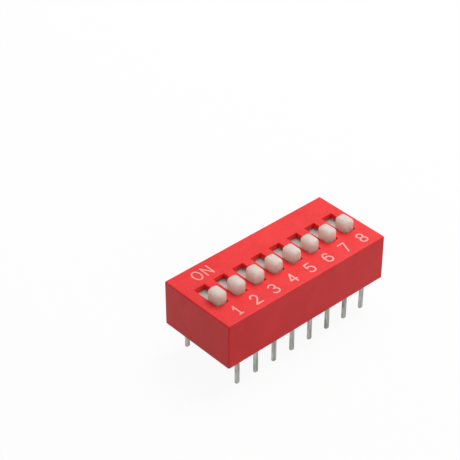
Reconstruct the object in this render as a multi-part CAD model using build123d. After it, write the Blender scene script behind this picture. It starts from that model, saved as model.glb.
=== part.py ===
from build123d import *
import os

# Eight-position slide switch in a dual in-line package, shown upright with every slider at OFF.
# X runs along the positions, +Y points to the ON side and +Z points up. The origin is the middle
# of the seating plane, where the cover's rim meets a circuit board: only the pins lie below it.
# All lengths are in millimetres.

# Footprint of the package
positions = 8
pitch = 2.54
row_spacing = 7.62

# Cover, a box moulded open at the bottom
end_margin = 0.74
side_margin = 0.99
cover_wall = 0.55
cover_top = 0.53
cover_corner_radius = 0.15
cover_edge_radius = 0.13

# Slots in the cover
slot_side_gap = 0.04
slot_end_gap = 0.05
slot_edge_chamfer = 0.04

# Sliders
knob_width = 1.34
knob_length = 1.74
knob_height = 1.22
knob_corner_radius = 0.40
knob_edge_radius = 0.39
travel = 1.74
shoe_thickness = 1.67
shoe_lap = 0.06
shoe_side_gap = 0.06
shoe_top_gap = 0.05
shoe_rail_gap = 0.05

# Base, the floor of the switch
rim_standoff = 0.35
floor_thickness = 2.25
shoe_lift = 0.50
rib_thickness = 0.50
rail_width = 0.20
base_fit_gap = 0.03
detent_height = 0.03
detent_width = 0.26

# Underside of the base
ridge_end_inset = 2.25
ridge_row_gap = 1.66
ridge_width = 0.50
ridge_height = 0.27
recess_depth = 1.10
recess_corner_radius = 0.20
gate_radius = 0.55
gate_depth = 0.14
gate_stub_radius = 0.26
gate_stub_height = 0.20

# Snaps that hold the base in the cover, and the curved line that one leaves on the outside
snap_width = 1.90
snap_reach = 0.22
snap_height = 0.70
snap_catch = 0.15
snap_level = 1.30
snap_pocket_gap = 0.04
witness_width = 0.12
witness_sag = 0.16
witness_depth = 0.07

# Terminals, stamped from strip and bent
strip_thickness = 0.25
strip_bend_radius = 0.25
pad_width = 1.20
contact_gap = 0.60
shoulder_recess = 0.05
pin_width = 0.46
pin_length = 3.68
pin_tip_taper = 0.05
pin_tip_inset = 0.04

# Contact springs, which bridge two terminals
spring_thickness = 0.10
spring_width = 1.10
spring_feet_spacing = 2.60
spring_crown_length = 0.80
spring_tip_run = 0.35
spring_tip_rise = 0.60
spring_bend_radius = 0.20
spring_pocket_gap = 0.06
spring_pocket_depth = 0.35

# How far cutting shapes reach past what they cut
overrun = 1.00

# Sizes and levels that follow
cover_length = positions * pitch + 2 * end_margin
cover_width = row_spacing + 2 * side_margin
floor_level = rim_standoff + floor_thickness
shoe_bottom = floor_level + shoe_lift
shoe_level = shoe_bottom + shoe_thickness
ceiling_level = shoe_level + shoe_top_gap
cover_level = ceiling_level + cover_top
rail_level = shoe_bottom - shoe_rail_gap
cavity_length = cover_length - 2 * cover_wall
cavity_width = cover_width - 2 * cover_wall
base_length = cavity_length - 2 * base_fit_gap
base_width = cavity_width - 2 * base_fit_gap
channel_width = pitch - rib_thickness
shoe_width = channel_width - 2 * shoe_side_gap
slot_width = knob_width + 2 * slot_side_gap
slot_length = knob_length + travel + 2 * slot_end_gap
shoe_length = slot_length + travel + 2 * shoe_lap
spring_length = spring_feet_spacing + 2 * spring_tip_run
row_place = row_spacing / 2
off_place = -travel / 2
gap_place = spring_feet_spacing / 2
snap_middle = snap_level + snap_height / 2

position_places = [(index - (positions - 1) / 2) * pitch for index in range(positions)]
seated = (Align.CENTER, Align.CENTER, Align.MIN)


def box_between(length, width, bottom, top):
    """A box centred on the vertical axis, from one level up to another."""
    return Pos(0, 0, bottom) * Box(length, width, top - bottom, align=seated)


def block_between(outline, bottom, top):
    """An outline drawn in plan, raised from one level to another."""
    return Pos(0, 0, bottom) * extrude(outline, top - bottom)


def make_cover():
    """The cover: eight slots above, open below, with a snap pocket inside each end."""
    outline = RectangleRounded(cover_length, cover_width, cover_corner_radius)
    cover = block_between(outline, 0, cover_level)
    cover = fillet(cover.faces().sort_by(Axis.Z)[-1].edges(), cover_edge_radius)
    cover -= box_between(cavity_length, cavity_width, -overrun, ceiling_level)

    slot = box_between(slot_width, slot_length, ceiling_level - overrun, cover_level + overrun)
    cover -= [Pos(place, 0, 0) * slot for place in position_places]
    slot_edges = cover.faces().sort_by(Axis.Z)[-1].inner_wires().edges()
    cover = chamfer(slot_edges, slot_edge_chamfer)

    cover -= box_between(
        cavity_length + 2 * snap_reach,
        snap_width + 2 * snap_pocket_gap,
        snap_level - snap_pocket_gap,
        snap_level + snap_height + snap_pocket_gap,
    )

    witness_line = ThreePointArc(
        (-snap_width / 2, snap_middle),
        (0, snap_middle - witness_sag),
        (snap_width / 2, snap_middle),
    )
    witness_plane = Plane.YZ.offset(cover_length / 2 - witness_depth)
    return cover - extrude(witness_plane * SlotArc(witness_line, witness_width), overrun)


def make_terminal(pad_end):
    """A terminal of the ON row: a pad flush with the floor, bent down into a flat pin.

    pad_end is where the pad stops, measured across the switch from its middle.
    """
    outer_place = row_place + strip_thickness / 2
    inner_place = row_place - strip_thickness / 2
    pad_bottom = floor_level - strip_thickness
    strip_outline = FilletPolyline(
        (outer_place, -pin_length),
        (outer_place, floor_level),
        (pad_end, floor_level),
        (pad_end, pad_bottom),
        (inner_place, pad_bottom),
        (inner_place, -pin_length),
        radius=[strip_bend_radius, 0, 0, 0],
    )
    strip_section = make_face([strip_outline, Line(strip_outline @ 1, strip_outline @ 0)])
    strip = extrude(Plane.YZ * strip_section, pad_width / 2, both=True)

    half_pin = pin_width / 2
    half_pad = pad_width / 2
    shoulder_level = rim_standoff + shoulder_recess
    blank = Polygon(
        (pin_tip_inset - half_pin, -pin_length),
        (half_pin - pin_tip_inset, -pin_length),
        (half_pin, pin_tip_taper - pin_length),
        (half_pin, shoulder_level),
        (half_pad, shoulder_level),
        (half_pad, ceiling_level),
        (-half_pad, ceiling_level),
        (-half_pad, shoulder_level),
        (-half_pin, shoulder_level),
        (-half_pin, pin_tip_taper - pin_length),
        align=None,
    )
    return strip & extrude(Plane.XZ * blank, cover_width, both=True)


def make_base(terminals):
    """The base: guide channels above, a cored recess below, moulded round the terminals."""
    base = box_between(base_length, base_width, rim_standoff, ceiling_level)
    channel = box_between(channel_width, cover_width, rail_level, ceiling_level + overrun)
    channel += box_between(channel_width - 2 * rail_width, cover_width, floor_level, ceiling_level)
    base -= [Pos(place, 0, 0) * channel for place in position_places]

    detent_section = Polygon(
        (gap_place - detent_width / 2, floor_level),
        (gap_place + detent_width / 2, floor_level),
        (gap_place, floor_level + detent_height),
        align=None,
    )
    detent = extrude(Plane.YZ * detent_section, channel_width / 2, both=True)
    base += [Pos(place, 0, 0) * detent for place in position_places]

    wedge_root = base_length / 2 - snap_reach
    wedge_tip = base_length / 2 + snap_reach - base_fit_gap
    wedge_section = Polygon(
        (wedge_root, snap_level),
        (wedge_tip, snap_level),
        (wedge_tip, snap_level + snap_catch),
        (wedge_root, snap_level + snap_height),
        align=None,
    )
    wedge = extrude(Plane.XZ * wedge_section, snap_width / 2, both=True)
    base += [wedge, mirror(wedge, Plane.YZ)]

    ridge_length = cover_length - 2 * ridge_end_inset
    ridge_breadth = row_spacing - 2 * ridge_row_gap
    recess_length = ridge_length - 2 * ridge_width
    recess_breadth = ridge_breadth - 2 * ridge_width
    recess_level = rim_standoff + recess_depth
    ridge_level = rim_standoff - ridge_height
    recess_outline = RectangleRounded(recess_length, recess_breadth, recess_corner_radius)
    base += box_between(ridge_length, ridge_breadth, ridge_level, rim_standoff)
    base -= block_between(recess_outline, ridge_level - overrun, recess_level)

    gate_level = recess_level + gate_depth
    base -= block_between(Circle(gate_radius), recess_level - overrun, gate_level)
    base += block_between(Circle(gate_stub_radius), gate_level - gate_stub_height, gate_level)
    return base - terminals


def make_slider():
    """A slider at mid travel: the knob, and the shoe that keeps its slot closed."""
    slider = box_between(shoe_width, shoe_length, shoe_bottom, shoe_level)
    slider -= box_between(
        spring_width + 2 * spring_pocket_gap,
        spring_length + 2 * spring_pocket_gap,
        shoe_bottom - overrun,
        shoe_bottom + spring_pocket_depth,
    )
    knob_outline = RectangleRounded(knob_width, knob_length, knob_corner_radius)
    knob = block_between(knob_outline, shoe_level, cover_level + knob_height)
    return slider + fillet(knob.faces().sort_by(Axis.Z)[-1].edges(), knob_edge_radius)


def make_contact_spring():
    """A contact spring at mid travel: a bow whose upturned ends the slider's pocket holds."""
    crown_level = shoe_bottom + spring_pocket_depth - spring_thickness
    foot_level = floor_level + detent_height
    tip_level = foot_level + spring_tip_rise
    bent_line = FilletPolyline(
        (-spring_length / 2, tip_level),
        (-spring_feet_spacing / 2, foot_level),
        (-spring_crown_length / 2, crown_level),
        (spring_crown_length / 2, crown_level),
        (spring_feet_spacing / 2, foot_level),
        (spring_length / 2, tip_level),
        radius=[spring_bend_radius, 0, 0, spring_bend_radius],
    )
    strip_outline = offset(bent_line, spring_thickness, kind=Kind.INTERSECTION, side=Side.LEFT)
    return extrude(Plane.YZ * make_face(strip_outline), spring_width / 2, both=True)


on_terminal = make_terminal(gap_place + contact_gap / 2)
number_terminal = mirror(make_terminal(contact_gap / 2 - gap_place), Plane.XZ)
slider = make_slider()
contact_spring = make_contact_spring()

parts = {"cover": make_cover()}
terminals = {}
for number, place in enumerate(position_places, start=1):
    terminals[f"terminal_on_side_{number}"] = Pos(place, 0, 0) * on_terminal
    terminals[f"terminal_number_side_{number}"] = Pos(place, 0, 0) * number_terminal
    parts[f"slider_{number}"] = Pos(place, off_place, 0) * slider
    parts[f"contact_spring_{number}"] = Pos(place, off_place, 0) * contact_spring
parts["base"] = make_base(list(terminals.values()))
parts.update(terminals)

os.makedirs("parts", exist_ok=True)
for name, shape in parts.items():
    export_step(shape, f"parts/{name}.step")
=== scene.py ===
"""The looks of an eight-position slide switch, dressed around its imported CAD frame.

Names that end in _mm are millimetres, and every mesh is in metres in the CAD frame:
X runs along the positions, +Y points to the ON side and +Z points up.
"""

import logging
import math
from abc import ABC, abstractmethod
from collections.abc import Mapping, Sequence
from dataclasses import dataclass
from enum import Enum

import bmesh
import bpy
import numpy as np
from mathutils import Matrix, Vector


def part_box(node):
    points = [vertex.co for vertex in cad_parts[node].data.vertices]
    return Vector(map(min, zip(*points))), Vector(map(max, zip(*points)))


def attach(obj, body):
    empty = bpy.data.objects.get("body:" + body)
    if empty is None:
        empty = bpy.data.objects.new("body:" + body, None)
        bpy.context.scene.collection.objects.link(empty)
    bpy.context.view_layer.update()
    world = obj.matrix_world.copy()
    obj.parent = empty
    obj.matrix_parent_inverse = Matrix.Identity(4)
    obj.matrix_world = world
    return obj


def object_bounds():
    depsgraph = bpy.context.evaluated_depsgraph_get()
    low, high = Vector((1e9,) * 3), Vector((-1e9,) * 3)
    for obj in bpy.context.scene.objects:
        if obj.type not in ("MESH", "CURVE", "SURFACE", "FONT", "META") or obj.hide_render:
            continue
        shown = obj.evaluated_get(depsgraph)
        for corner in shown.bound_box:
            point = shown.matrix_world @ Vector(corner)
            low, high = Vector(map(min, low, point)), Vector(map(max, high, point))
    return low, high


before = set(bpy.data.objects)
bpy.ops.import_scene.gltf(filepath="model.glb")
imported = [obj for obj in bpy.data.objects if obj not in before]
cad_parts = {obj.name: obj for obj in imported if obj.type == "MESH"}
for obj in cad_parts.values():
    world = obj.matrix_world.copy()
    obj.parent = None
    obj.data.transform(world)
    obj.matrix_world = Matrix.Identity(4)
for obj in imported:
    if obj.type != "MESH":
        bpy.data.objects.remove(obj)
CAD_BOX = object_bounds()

LOG = logging.getLogger("switch")
MM = 0.001
HOUSING = "housing"
POSITIONS = 8
NUMBERS = range(1, POSITIONS + 1)

Point = tuple[float, float]
Stroke = list[Point]


class Row(Enum):
    """The two rows of terminals, by the words that their nodes are named with."""

    ON = "on_side"
    NUMBER = "number_side"


class SeenRay(Enum):
    """The kinds of ray that show a white studio, where others only take its light."""

    CAMERA = "Is Camera Ray"
    GLOSSY = "Is Glossy Ray"
    TRANSMISSION = "Is Transmission Ray"


def linear(hex_colour: str) -> tuple[float, float, float, float]:
    """Turns an sRGB hex colour into Blender's linear colour, by the standard's own curve.

    Args:
        hex_colour: Six hex digits after a hash.

    Returns:
        Red, green, blue and an alpha of one.
    """
    shares = [int(hex_colour[place : place + 2], 16) / 255 for place in (1, 3, 5)]
    red, green, blue = (s / 12.92 if s <= 0.04045 else ((s + 0.055) / 1.055) ** 2.4 for s in shares)
    return red, green, blue, 1.0


def per_metre(size_mm: float) -> float:
    """Texture scale that gives a pattern features of this size."""
    return 1 / (size_mm * MM)


def find_socket(sockets: Sequence[bpy.types.NodeSocket], key: str) -> bpy.types.NodeSocket | None:
    """Looks a node's socket up.

    Args:
        sockets: A node's inputs or outputs.
        key: The socket's identifier, or else its name.

    Returns:
        The socket, or None if the node has no such socket.
    """
    for socket in sockets:
        if socket.identifier == key:
            return socket
    return next((socket for socket in sockets if socket.name == key and socket.enabled), None)


def add_node(
    tree: bpy.types.NodeTree,
    kind: str,
    settings: Mapping[str, object] | None = None,
    links: Mapping[str, bpy.types.NodeSocket] | None = None,
) -> bpy.types.Node:
    """Adds a node to a tree with its settings and links.

    Args:
        tree: The node tree of a material or the world.
        kind: Blender's name for the node type.
        settings: Values by the name of an input socket or of a property of the node.
        links: Output sockets of other nodes, by the input that each goes to.

    Returns:
        The new node.
    """
    node = tree.nodes.new(kind)
    properties = {key: value for key, value in (settings or {}).items() if hasattr(node, key)}
    for key, value in properties.items():
        setattr(node, key, value)
    for key, value in (settings or {}).items():
        if key not in properties:
            find_socket(node.inputs, key).default_value = value
    for key, source in (links or {}).items():
        tree.links.new(source, find_socket(node.inputs, key))
    return node


def seen_directly(tree: bpy.types.NodeTree) -> bpy.types.NodeSocket:
    """Adds nodes that tell a ray that shows the studio from one that only carries its light.

    Args:
        tree: The node tree of a material or the world.

    Returns:
        A socket that is one on a ray that shows the studio, and else zero.
    """
    path = add_node(tree, "ShaderNodeLightPath")
    shown = path.outputs[SeenRay.CAMERA.value]
    for kind in (SeenRay.GLOSSY, SeenRay.TRANSMISSION):
        either = add_node(
            tree,
            "ShaderNodeMath",
            {"operation": "MAXIMUM"},
            {"Value": shown, "Value_001": path.outputs[kind.value]},
        )
        shown = either.outputs["Value"]
    return shown


def link_piece(name: str, mesh: bpy.types.Mesh) -> bpy.types.Object:
    """Makes an object of a mesh and links it to the scene.

    Args:
        name: The object's name.
        mesh: Its mesh, in metres.

    Returns:
        The object.
    """
    piece = bpy.data.objects.new(name, mesh)
    bpy.context.scene.collection.objects.link(piece)
    return piece


@dataclass(frozen=True)
class Finish(ABC):
    """A material: what a piece is made of and how its surface was made."""

    name: str
    colour: str
    roughness: float

    @abstractmethod
    def shade(self, tree: bpy.types.NodeTree) -> bpy.types.NodeSocket:
        """Adds the finish's nodes and returns the socket of its shader."""

    def material(self) -> bpy.types.Material:
        """Makes the finish as a Blender material, or finds it if it is made already.

        Returns:
            The material.
        """
        made = bpy.data.materials.get(self.name)
        if made:
            return made
        made = bpy.data.materials.new(self.name)
        made.use_nodes = True
        made.node_tree.nodes.clear()
        surface = self.shade(made.node_tree)
        add_node(made.node_tree, "ShaderNodeOutputMaterial", links={"Surface": surface})
        return made

    def coat(self, piece: bpy.types.Object) -> bpy.types.Object:
        """Puts the finish on a piece, in place of the material that it has.

        Args:
            piece: The piece to coat.

        Returns:
            The same piece.
        """
        if not piece.material_slots:
            piece.data.materials.append(None)
        for slot in piece.material_slots:
            slot.material = self.material()
        return piece


@dataclass(frozen=True)
class MouldedPlastic(Finish):
    """A thermoplastic that took the fine grain of a spark-eroded steel mould.

    The grain spreads highlights into a soft sheen, and flow from the gate leaves the colour and
    the gloss very slightly uneven. Real grain is about 0.03 mm: it is drawn coarser so it shows.
    A translucent resin also passes light on inside, which softens its edges and shaded sides.
    The speckle share is how much of the uneven colour comes from the grain, and not from flow.
    """

    shade_colour: str = "#000000"
    ior: float = 1.55
    specular_level: float = 0.5
    roughness_spread: float = 0.08
    grain_mm: float = 0.11
    grain_depth_mm: float = 0.0025
    grain_octaves: float = 2.0
    grain_fineness: float = 0.55
    flow_mm: float = 3.2
    flow_octaves: float = 3.0
    flow_swirl: float = 0.6
    speckle_share: float = 0.5
    dull_share: float = 0.36
    translucency: float = 0.0
    light_reach_mm: float = 0.0
    reach_shares: tuple[float, float, float] = (1.0, 0.95, 0.9)

    def shade(self, tree: bpy.types.NodeTree) -> bpy.types.NodeSocket:
        """Adds the finish's nodes.

        Args:
            tree: The material's node tree.

        Returns:
            The shader's output socket.
        """
        place = add_node(tree, "ShaderNodeTexCoord").outputs["Object"]
        grain = add_node(
            tree,
            "ShaderNodeTexNoise",
            {
                "Scale": per_metre(self.grain_mm),
                "Detail": self.grain_octaves,
                "Roughness": self.grain_fineness,
            },
            {"Vector": place},
        )
        relief = add_node(
            tree,
            "ShaderNodeBump",
            {"Strength": 1.0, "Distance": self.grain_depth_mm * MM},
            {"Height": grain.outputs["Fac"]},
        )
        flow = add_node(
            tree,
            "ShaderNodeTexNoise",
            {
                "Scale": per_metre(self.flow_mm),
                "Detail": self.flow_octaves,
                "Distortion": self.flow_swirl,
            },
            {"Vector": place},
        )
        both = add_node(
            tree,
            "ShaderNodeMix",
            {"Factor_Float": self.speckle_share},
            {"A_Float": flow.outputs["Fac"], "B_Float": grain.outputs["Fac"]},
        )
        mottle = add_node(
            tree,
            "ShaderNodeMapRange",
            {"From Min": self.dull_share, "From Max": 1 - self.dull_share},
            {"Value": find_socket(both.outputs, "Result_Float")},
        )
        tint = add_node(
            tree,
            "ShaderNodeMix",
            {
                "data_type": "RGBA",
                "A_Color": linear(self.shade_colour),
                "B_Color": linear(self.colour),
            },
            {"Factor_Float": mottle.outputs["Result"]},
        )
        gloss = add_node(
            tree,
            "ShaderNodeMapRange",
            {
                "To Min": self.roughness - self.roughness_spread,
                "To Max": self.roughness + self.roughness_spread,
            },
            {"Value": grain.outputs["Fac"]},
        )
        shader = add_node(
            tree,
            "ShaderNodeBsdfPrincipled",
            {
                "IOR": self.ior,
                "Specular IOR Level": self.specular_level,
                "Subsurface Weight": self.translucency,
                "Subsurface Scale": self.light_reach_mm * MM,
                "Subsurface Radius": self.reach_shares,
            },
            {
                "Base Color": find_socket(tint.outputs, "Result_Color"),
                "Roughness": gloss.outputs["Result"],
                "Normal": relief.outputs["Normal"],
            },
        )
        return shader.outputs["BSDF"]


@dataclass(frozen=True)
class PlatedStrip(Finish):
    """A thin plate on rolled strip, which keeps the strip's fine lengthwise rolling lines.

    The lines stretch highlights along the strip and leave its colour a little streaked. Real
    ones are about 0.01 mm apart: they are drawn coarser so they show.
    """

    streak_colour: str = "#000000"
    roughness_spread: float = 0.10
    line_mm: float = 0.06
    line_length_mm: float = 1.5
    line_depth_mm: float = 0.002
    line_octaves: float = 3.0
    line_fineness: float = 0.6
    dull_share: float = 0.36

    def shade(self, tree: bpy.types.NodeTree) -> bpy.types.NodeSocket:
        """Adds the finish's nodes.

        Args:
            tree: The material's node tree.

        Returns:
            The shader's output socket.
        """
        place = add_node(tree, "ShaderNodeTexCoord").outputs["Object"]
        across, along = per_metre(self.line_mm), per_metre(self.line_length_mm)
        stretched = add_node(
            tree,
            "ShaderNodeMapping",
            {"Scale": (across, along, along)},
            {"Vector": place},
        )
        lines = add_node(
            tree,
            "ShaderNodeTexNoise",
            {"Scale": 1.0, "Detail": self.line_octaves, "Roughness": self.line_fineness},
            {"Vector": stretched.outputs["Vector"]},
        )
        streaks = add_node(
            tree,
            "ShaderNodeMapRange",
            {"From Min": self.dull_share, "From Max": 1 - self.dull_share},
            {"Value": lines.outputs["Fac"]},
        )
        relief = add_node(
            tree,
            "ShaderNodeBump",
            {"Strength": 1.0, "Distance": self.line_depth_mm * MM},
            {"Height": lines.outputs["Fac"]},
        )
        tint = add_node(
            tree,
            "ShaderNodeMix",
            {
                "data_type": "RGBA",
                "A_Color": linear(self.streak_colour),
                "B_Color": linear(self.colour),
            },
            {"Factor_Float": streaks.outputs["Result"]},
        )
        gloss = add_node(
            tree,
            "ShaderNodeMapRange",
            {
                "To Min": self.roughness + self.roughness_spread,
                "To Max": self.roughness - self.roughness_spread,
            },
            {"Value": streaks.outputs["Result"]},
        )
        shader = add_node(
            tree,
            "ShaderNodeBsdfPrincipled",
            {"Metallic": 1.0},
            {
                "Base Color": find_socket(tint.outputs, "Result_Color"),
                "Roughness": gloss.outputs["Result"],
                "Normal": relief.outputs["Normal"],
            },
        )
        return shader.outputs["BSDF"]


@dataclass(frozen=True)
class PadPrintInk(Finish):
    """White pad-printing ink, wiped on in a coat so thin that the moulding's colour warms it.

    The coat varies a little in thickness, so some of each stroke is paler than the rest.
    """

    thin_colour: str = "#000000"
    blotch_mm: float = 0.28
    blotch_octaves: float = 2.0

    def shade(self, tree: bpy.types.NodeTree) -> bpy.types.NodeSocket:
        """Adds the finish's nodes.

        Args:
            tree: The material's node tree.

        Returns:
            The shader's output socket.
        """
        place = add_node(tree, "ShaderNodeTexCoord").outputs["Object"]
        blotches = add_node(
            tree,
            "ShaderNodeTexNoise",
            {"Scale": per_metre(self.blotch_mm), "Detail": self.blotch_octaves},
            {"Vector": place},
        )
        tint = add_node(
            tree,
            "ShaderNodeMix",
            {
                "data_type": "RGBA",
                "A_Color": linear(self.thin_colour),
                "B_Color": linear(self.colour),
            },
            {"Factor_Float": blotches.outputs["Fac"]},
        )
        shader = add_node(
            tree,
            "ShaderNodeBsdfPrincipled",
            {"Roughness": self.roughness},
            {"Base Color": find_socket(tint.outputs, "Result_Color")},
        )
        return shader.outputs["BSDF"]


@dataclass(frozen=True)
class SweepPaper(Finish):
    """Matt white background paper, lit so that it shows as white with only a breath of shadow.

    It gives plain bounce light to the object. From below it isn't there, so the underside shows.
    """

    shown_light: float = 1.06
    shadow_share: float = 0.12

    def shade(self, tree: bpy.types.NodeTree) -> bpy.types.NodeSocket:
        """Adds the finish's nodes.

        Args:
            tree: The material's node tree.

        Returns:
            The shader's output socket.
        """
        matt = add_node(
            tree,
            "ShaderNodeBsdfDiffuse",
            {"Color": linear(self.colour), "Roughness": self.roughness},
        )
        glow = add_node(tree, "ShaderNodeEmission", {"Strength": self.shown_light})
        shown = add_node(
            tree,
            "ShaderNodeMixShader",
            {"Fac": self.shadow_share},
            {"Shader": glow.outputs["Emission"], "Shader_001": matt.outputs["BSDF"]},
        )
        seen = add_node(
            tree,
            "ShaderNodeMixShader",
            links={
                "Fac": seen_directly(tree),
                "Shader": matt.outputs["BSDF"],
                "Shader_001": shown.outputs["Shader"],
            },
        )
        below = add_node(tree, "ShaderNodeNewGeometry").outputs["Backfacing"]
        clear = add_node(tree, "ShaderNodeBsdfTransparent").outputs["BSDF"]
        sheet = add_node(
            tree,
            "ShaderNodeMixShader",
            links={"Fac": below, "Shader": seen.outputs["Shader"], "Shader_001": clear},
        )
        return sheet.outputs["Shader"]


# Pigmented PBT, moulded with a visible grain: a strong red with a weak, broad sheen
RED_PBT = MouldedPlastic(
    "moulded_red_pbt",
    "#FF383B",
    0.42,
    shade_colour="#EF2A2C",
    specular_level=0.2,
    grain_mm=0.20,
    grain_depth_mm=0.004,
)
# The same resin with carbon black: a dull near black
BLACK_PBT = MouldedPlastic("moulded_black_pbt", "#2A2E30", 0.48, shade_colour="#212527")
# Unpigmented nylon: light goes deep into the small knobs, so their shaded sides stay pale
IVORY_NYLON = MouldedPlastic(
    "moulded_ivory_nylon",
    "#E6DFCC",
    0.46,
    shade_colour="#DDD4BF",
    ior=1.53,
    grain_mm=0.09,
    grain_depth_mm=0.0015,
    flow_mm=1.1,
    translucency=1.0,
    light_reach_mm=5.0,
)
# Matt tin on stamped strip: a soft grey that blurs what it reflects
DULL_TIN = PlatedStrip("dull_tin_plate", "#B0B1AA", 0.36, streak_colour="#83847C", line_mm=0.16)
# A flash of gold on sprung bronze: a warm, brighter metal
GOLD_FLASH = PlatedStrip("gold_flash_on_bronze", "#E3BE72", 0.24, streak_colour="#D2A858")
# A coat of white ink that lets the red through: pale pink, without gloss
WHITE_INK = PadPrintInk("white_pad_print", "#FFC2BB", 0.5, thin_colour="#F4A099")
# The same ink where the pad left less of it: a fainter, deeper pink
FAINT_INK = PadPrintInk("faint_pad_print", "#FFB0A9", 0.5, thin_colour="#F2918A")
# Uncoated paper: an even white with no reflections
WHITE_PAPER = SweepPaper("white_sweep_paper", "#D2D2D2", 0.6)


class SubAssembly(ABC):
    """A group of pieces that are made or dressed together."""

    @abstractmethod
    def build(self) -> list[bpy.types.Object]:
        """Makes or dresses the pieces and returns them."""


@dataclass
class Mouldings(SubAssembly):
    """The cover and the base, the two mouldings of the housing."""

    cover_finish: Finish = RED_PBT
    base_finish: Finish = BLACK_PBT

    def build(self) -> list[bpy.types.Object]:
        """Gives each moulding its finish and returns both."""
        finishes = {"cover": self.cover_finish, "base": self.base_finish}
        return [finish.coat(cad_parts[node]) for node, finish in finishes.items()]


@dataclass
class SliderBank(SubAssembly):
    """The eight sliders and the contact spring that each one carries below."""

    slider_finish: Finish = IVORY_NYLON
    spring_finish: Finish = GOLD_FLASH

    def build(self) -> list[bpy.types.Object]:
        """Gives each slider and spring its finish.

        Returns:
            The sliders and springs.
        """
        pieces = []
        for number in NUMBERS:
            pieces.append(self.slider_finish.coat(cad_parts[f"slider_{number}"]))
            pieces.append(self.spring_finish.coat(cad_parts[f"contact_spring_{number}"]))
        return pieces


@dataclass
class TerminalRows(SubAssembly):
    """Two rows of stamped terminals, whose pins stand below the housing."""

    finish: Finish = DULL_TIN

    def build(self) -> list[bpy.types.Object]:
        """Gives each terminal its finish and returns them all."""
        names = [f"terminal_{row.value}_{number}" for row in Row for number in NUMBERS]
        return [self.finish.coat(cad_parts[name]) for name in names]


def bow(centre: Point, radii: Point, start: float, end: float) -> Stroke:
    """Points along an elliptical bow of a pen stroke.

    Args:
        centre: The middle of the ellipse.
        radii: The ellipse's half width and half height.
        start: The angle where the pen starts, in degrees from +x towards +y.
        end: The angle where it stops.

    Returns:
        The points in the pen's order.
    """
    longest_step_deg = 7.5
    count = math.ceil(abs(end - start) / longest_step_deg)
    turns = [math.radians(start + (end - start) * index / count) for index in range(count + 1)]
    return [
        (centre[0] + radii[0] * math.cos(turn), centre[1] + radii[1] * math.sin(turn))
        for turn in turns
    ]


# Pen strokes of each character, in shares of its pen box: (0, 0) is its lower left corner
STROKE_SHARES: dict[str, list[Stroke]] = {
    "1": [[(0.05, 0.70), (0.58, 1.0), (0.58, 0.0)], [(0.12, 0.0), (1.0, 0.0)]],
    "2": [bow((0.47, 0.70), (0.44, 0.30), 168, -28) + [(0.0, 0.0), (1.0, 0.0)]],
    "3": [
        bow((0.46, 0.76), (0.43, 0.24), 158, -90),
        bow((0.46, 0.26), (0.50, 0.26), 90, -158),
    ],
    "4": [[(0.74, 0.0), (0.74, 1.0), (0.0, 0.30), (1.0, 0.30)]],
    "5": [
        [(0.90, 1.0), (0.16, 1.0), (0.09, 0.56)] + bow((0.45, 0.32), (0.52, 0.32), 130, -150),
    ],
    "6": [
        bow((0.54, 0.50), (0.54, 0.50), 48, 180) + [(0.0, 0.31)],
        bow((0.50, 0.31), (0.50, 0.31), 0, 360),
    ],
    "7": [[(0.0, 1.0), (1.0, 1.0), (0.36, 0.0)]],
    "8": [
        bow((0.50, 0.76), (0.42, 0.24), 0, 360),
        bow((0.50, 0.26), (0.50, 0.26), 0, 360),
    ],
    "O": [bow((0.50, 0.50), (0.50, 0.50), 0, 360)],
    "N": [[(0.0, 0.0), (0.0, 1.0), (1.0, 0.0), (1.0, 1.0)]],
}


@dataclass(frozen=True)
class Letter:
    """A letter of the legend: its width over the ink, and where its middle lies along X."""

    character: str
    width_mm: float
    place_mm: float


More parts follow.
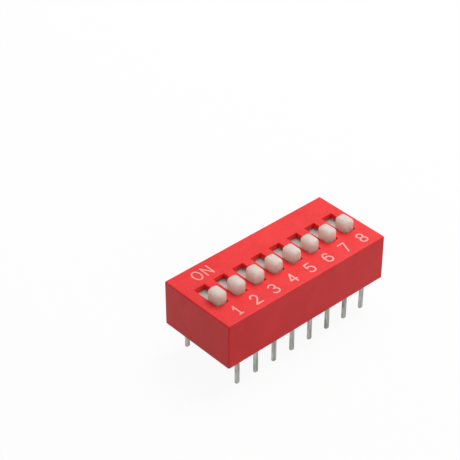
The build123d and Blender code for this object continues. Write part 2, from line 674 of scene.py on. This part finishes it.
@dataclass
class Legend(SubAssembly):
    """The printed legend on the cover: a number before each slider, and ON behind the first.

    Each character is a pen stroke of one width with round ends, and a thin layer of ink.
    """

    finish: Finish = WHITE_INK
    faint_finish: Finish = FAINT_INK
    faint_characters: str = "1ON"
    letters: Sequence[Letter] = (Letter("O", 1.08, -7.90), Letter("N", 0.98, -6.58))
    stroke_mm: float = 0.165
    height_mm: float = 1.52
    digit_width_mm: float = 0.96
    one_width_mm: float = 0.66
    digit_pitch_mm: float = 2.50
    digit_shift_mm: float = 0.21
    digit_row_mm: float = -3.37
    letter_row_mm: float = 3.28
    ink_mm: float = 0.012
    sunk_mm: float = 0.003
    cell_mm: float = 0.02

    def ink_field(self, character: str, width_mm: float) -> tuple[np.ndarray, Point]:
        """Measures how deep each point of a grid lies in a character's ink.

        Args:
            character: The character to draw.
            width_mm: Its width over the ink.

        Returns:
            Depths on the grid, above zero in the ink, and the grid's first corner in millimetres
            from the middle of the character.
        """
        pen_box = np.array((width_mm - self.stroke_mm, self.height_mm - self.stroke_mm))
        margin = self.stroke_mm
        first = -pen_box / 2 - margin
        columns, rows = np.ceil((pen_box + 2 * margin) / self.cell_mm).astype(int) + 1
        x = first[0] + self.cell_mm * np.arange(columns)[:, None]
        y = first[1] + self.cell_mm * np.arange(rows)[None, :]
        nearest = np.full((columns, rows), np.inf)
        for stroke in STROKE_SHARES[character]:
            pen = (np.array(stroke) - 0.5) * pen_box
            for start, end in zip(pen, pen[1:]):
                run = end - start
                along = ((x - start[0]) * run[0] + (y - start[1]) * run[1]) / (run @ run)
                along = np.clip(along, 0, 1)
                gap = np.hypot(x - start[0] - along * run[0], y - start[1] - along * run[1])
                nearest = np.minimum(nearest, gap)
        return self.stroke_mm / 2 - nearest, (first[0], first[1])

    def ink_cells(self, depth: np.ndarray) -> tuple[list[Point], list[list[int]]]:
        """Covers the ink with the cells of its grid, cut off where the ink ends.

        Args:
            depth: Depths on the grid, above zero in the ink.

        Returns:
            Corners in cells from the grid's first corner, and the faces between them.
        """
        clear_share = 0.02
        corners: list[Point] = []
        numbers: dict[tuple, int] = {}
        faces: list[list[int]] = []

        def corner(here: tuple[int, int], there: tuple[int, int]) -> int:
            """Numbers the point where the ink's edge crosses from one grid point to another.

            Args:
                here: A grid point.
                there: The next one, or the same one for a corner inside the ink.

            Returns:
                The corner's number.
            """
            key = tuple(sorted((here, there)))
            if key not in numbers:
                near, far = key
                share = 0.0
                if near != far:
                    share = depth[near] / (depth[near] - depth[far])
                    share = min(max(share, clear_share), 1 - clear_share)
                numbers[key] = len(corners)
                corners.append(tuple(n + (f - n) * share for n, f in zip(near, far)))
            return numbers[key]

        for column, row in zip(*np.nonzero(np.maximum.reduce(self.cell_corners(depth)) > 0)):
            ring = [(column, row), (column + 1, row), (column + 1, row + 1), (column, row + 1)]
            face = []
            for here, there in zip(ring, ring[1:] + ring[:1]):
                if depth[here] > 0:
                    face.append(corner(here, here))
                if (depth[here] > 0) != (depth[there] > 0):
                    face.append(corner(here, there))
            faces.append(face)
        return corners, faces

    @staticmethod
    def cell_corners(depth: np.ndarray) -> list[np.ndarray]:
        """The depths at the four corners of every cell."""
        return [depth[:-1, :-1], depth[1:, :-1], depth[1:, 1:], depth[:-1, 1:]]

    def ink_layer(self, character: str, width_mm: float, place_mm: Point) -> bmesh.types.BMesh:
        """Makes the ink of one character as a thin closed layer on the cover.

        Args:
            character: The character to print.
            width_mm: Its width over the ink.
            place_mm: Where its middle lies on the cover.

        Returns:
            The layer of ink, in metres.
        """
        depth, first = self.ink_field(character, width_mm)
        corners, faces = self.ink_cells(depth)
        ink = bmesh.new()
        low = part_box("cover")[1].z - self.sunk_mm * MM
        spots = [
            ink.verts.new(
                (
                    (place_mm[0] + first[0] + x * self.cell_mm) * MM,
                    (place_mm[1] + first[1] + y * self.cell_mm) * MM,
                    low,
                )
            )
            for x, y in corners
        ]
        for face in faces:
            ink.faces.new([spots[number] for number in face])
        raised = bmesh.ops.extrude_face_region(ink, geom=ink.faces[:])["geom"]
        tops = [item for item in raised if isinstance(item, bmesh.types.BMVert)]
        bmesh.ops.translate(ink, verts=tops, vec=(0, 0, self.ink_mm * MM))
        bmesh.ops.recalc_face_normals(ink, faces=ink.faces[:])
        return ink

    def print_character(
        self, name: str, character: str, width_mm: float, place_mm: Point
    ) -> bpy.types.Object:
        """Prints one character as a piece that rides on the housing.

        Args:
            name: The piece's name.
            character: The character to print.
            width_mm: Its width over the ink.
            place_mm: Where its middle lies on the cover.

        Returns:
            The piece.
        """
        ink = self.ink_layer(character, width_mm, place_mm)
        mesh = bpy.data.meshes.new(name)
        ink.to_mesh(mesh)
        ink.free()
        piece = link_piece(name, mesh)
        finish = self.faint_finish if character in self.faint_characters else self.finish
        finish.coat(piece)
        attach(piece, HOUSING)
        return piece

    def build(self) -> list[bpy.types.Object]:
        """Prints the numbers and the letters.

        Returns:
            The printed characters.
        """
        pieces = []
        for number in NUMBERS:
            along = self.digit_shift_mm + (number - (POSITIONS + 1) / 2) * self.digit_pitch_mm
            width = self.one_width_mm if number == 1 else self.digit_width_mm
            place = (along, self.digit_row_mm)
            pieces.append(self.print_character(f"print_{number}", str(number), width, place))
        for letter in self.letters:
            name = f"print_letter_{letter.character.lower()}"
            place = (letter.place_mm, self.letter_row_mm)
            pieces.append(self.print_character(name, letter.character, letter.width_mm, place))
        return pieces


@dataclass(frozen=True)
class Softbox:
    """A square studio lamp that faces the object."""

    name: str
    place_mm: tuple[float, float, float]
    side_mm: float
    watts: float

    def hang(self) -> None:
        """Adds the lamp to the scene."""
        lamp = bpy.data.lights.new(self.name, "AREA")
        lamp.shape = "SQUARE"
        lamp.size = self.side_mm * MM
        lamp.energy = self.watts
        place = Vector(self.place_mm) * MM
        facing = place.to_track_quat("Z", "Y").to_matrix().to_4x4()
        stand = bpy.data.objects.new(self.name, lamp)
        stand.matrix_world = Matrix.Translation(place) @ facing
        bpy.context.scene.collection.objects.link(stand)


@dataclass
class Studio:
    """White paper, a white surround, soft lamps and the camera at the photograph's angle.

    The camera's place and lens were fitted to the cover's corners, the slots and the pin tips.
    """

    paper: Finish = WHITE_PAPER
    paper_side_mm: float = 1600.0
    surround_colour: str = "#FFFFFF"
    surround_light: float = 0.18
    softboxes: Sequence[Softbox] = (
        Softbox("softbox_right", (110.0, 15.0, 222.0), 200.0, 0.55),
        Softbox("softbox_front", (-90.0, -300.0, 130.0), 160.0, 0.09),
    )
    azimuth_deg: float = -42.111
    elevation_deg: float = 36.813
    distance_mm: float = 164.41
    aim_right_mm: float = -4.75
    aim_up_mm: float = 7.177
    lens_mm: float = 123.858
    sensor_mm: float = 36.0
    nearest_mm: float = 1.0

    def lay_paper(self) -> None:
        """Lays the paper under the pin tips."""
        half = self.paper_side_mm / 2 * MM
        level = CAD_BOX[0][2]
        sides = ((-1, -1), (1, -1), (1, 1), (-1, 1))
        mesh = bpy.data.meshes.new("sweep")
        mesh.from_pydata([(x * half, y * half, level) for x, y in sides], [], [(0, 1, 2, 3)])
        sweep = link_piece("sweep", mesh)
        self.paper.coat(sweep)

    def surround(self) -> None:
        """Makes the white room round the object, which shows brighter than it lights."""
        world = bpy.data.worlds.new("white_room")
        world.use_nodes = True
        tree = world.node_tree
        tree.nodes.clear()
        light = add_node(
            tree,
            "ShaderNodeMapRange",
            {"To Min": self.surround_light, "To Max": 1.0},
            {"Value": seen_directly(tree)},
        )
        room = add_node(
            tree,
            "ShaderNodeBackground",
            {"Color": linear(self.surround_colour)},
            {"Strength": light.outputs["Result"]},
        )
        add_node(tree, "ShaderNodeOutputWorld", links={"Surface": room.outputs["Background"]})
        bpy.context.scene.world = world

    def aim(self) -> None:
        """Sets the camera up where the photograph was taken from."""
        turn, rise = math.radians(self.azimuth_deg), math.radians(self.elevation_deg)
        back = Vector(
            (math.sin(turn) * math.cos(rise), -math.cos(turn) * math.cos(rise), math.sin(rise))
        )
        right = Vector((math.cos(turn), math.sin(turn), 0))
        up = back.cross(right)
        eye = right * self.aim_right_mm + up * self.aim_up_mm + back * self.distance_mm
        lens = bpy.data.cameras.new("camera")
        lens.lens = self.lens_mm
        lens.sensor_width = self.sensor_mm
        lens.clip_start = self.nearest_mm * MM
        camera = bpy.data.objects.new("camera", lens)
        axes = Matrix((right, up, back)).transposed().to_4x4()
        camera.matrix_world = Matrix.Translation(eye * MM) @ axes
        bpy.context.scene.collection.objects.link(camera)
        bpy.context.scene.camera = camera

    def build(self) -> None:
        """Sets the whole studio up."""
        self.lay_paper()
        self.surround()
        for softbox in self.softboxes:
            softbox.hang()
        self.aim()
        bpy.context.scene.view_settings.view_transform = "Standard"


def main() -> None:
    """Builds the sub-assemblies in order, reports each piece, and sets the studio up."""
    logging.basicConfig(level=logging.INFO, format="%(name)s: %(message)s")
    for assembly in (Mouldings(), SliderBank(), TerminalRows(), Legend()):
        for piece in assembly.build():
            finish = piece.material_slots[0].material
            LOG.info("%s: %s, %d faces", piece.name, finish.name, len(piece.data.polygons))
    Studio().build()


if __name__ == "__main__":
    main()
